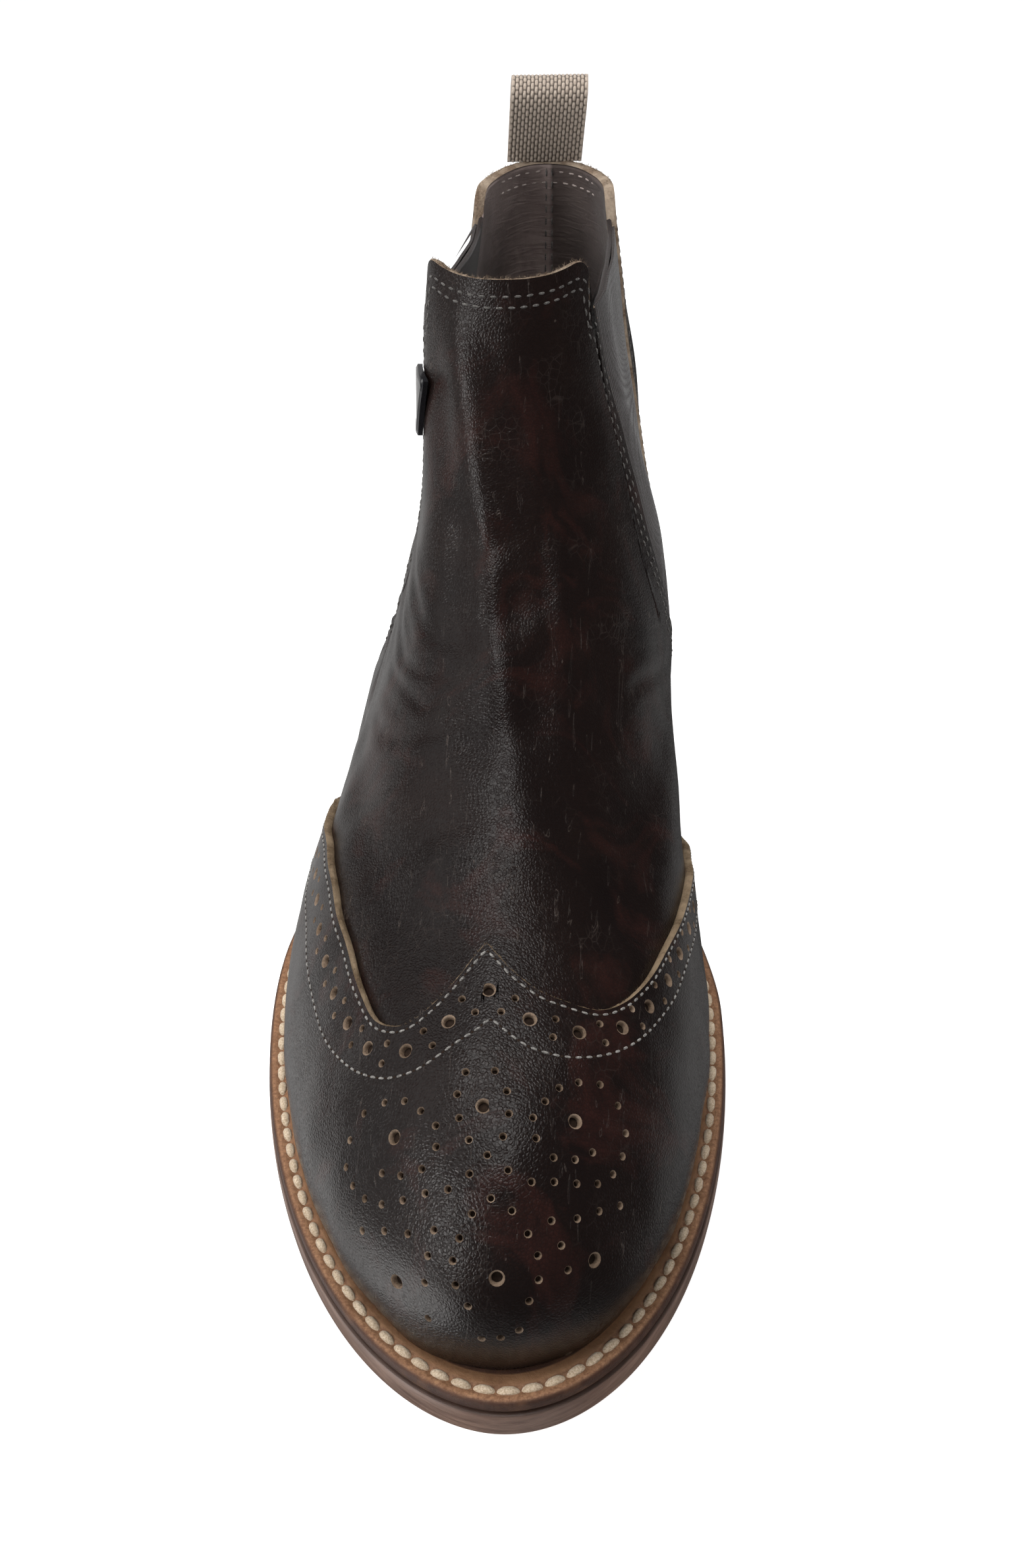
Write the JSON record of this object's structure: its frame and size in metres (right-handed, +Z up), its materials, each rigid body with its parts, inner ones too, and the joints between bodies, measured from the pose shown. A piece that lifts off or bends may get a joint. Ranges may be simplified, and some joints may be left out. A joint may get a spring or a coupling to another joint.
{
  "type": "brogue boot",
  "caption": "Right ankle boot: hollow leather upper with elastic side gores, wing-shaped toe overlay, stitched welt, curved sole, stacked heel and webbing pull loop.",
  "frame": {"origin": "on the floor under the middle of the sole's box", "axes": "+Z up, the toe points to -Y and the heel to +Y, +X is the inner (medial) side of this right boot"},
  "size_m": [0.1148, 0.304, 0.1843],
  "materials": {
    "sole_leather": "satin, dark burnished edge",
    "welt_leather": "matt tan, rough top",
    "heel_stack": "satin, burnished",
    "heel_rubber": "matt",
    "insole_leather": "matt",
    "upper_leather": "waxed, semi gloss",
    "wing_leather": "waxed, semi gloss",
    "gore_elastic": "fine ribbed elastic",
    "loop_webbing": "basket weave",
    "plate_black": "plain gloss"
  },
  "bodies": {
    "root": {"outsole": "sole_leather", "welt": "welt_leather", "heel_block": "heel_stack", "heel_top_piece": "heel_rubber", "insole": "insole_leather", "upper": "upper_leather", "wing_tip": "wing_leather", "gore_outer": "gore_elastic", "gore_inner": "gore_elastic", "pull_loop": "loop_webbing", "side_plate": "plate_black"}
  },
  "joints": []
}
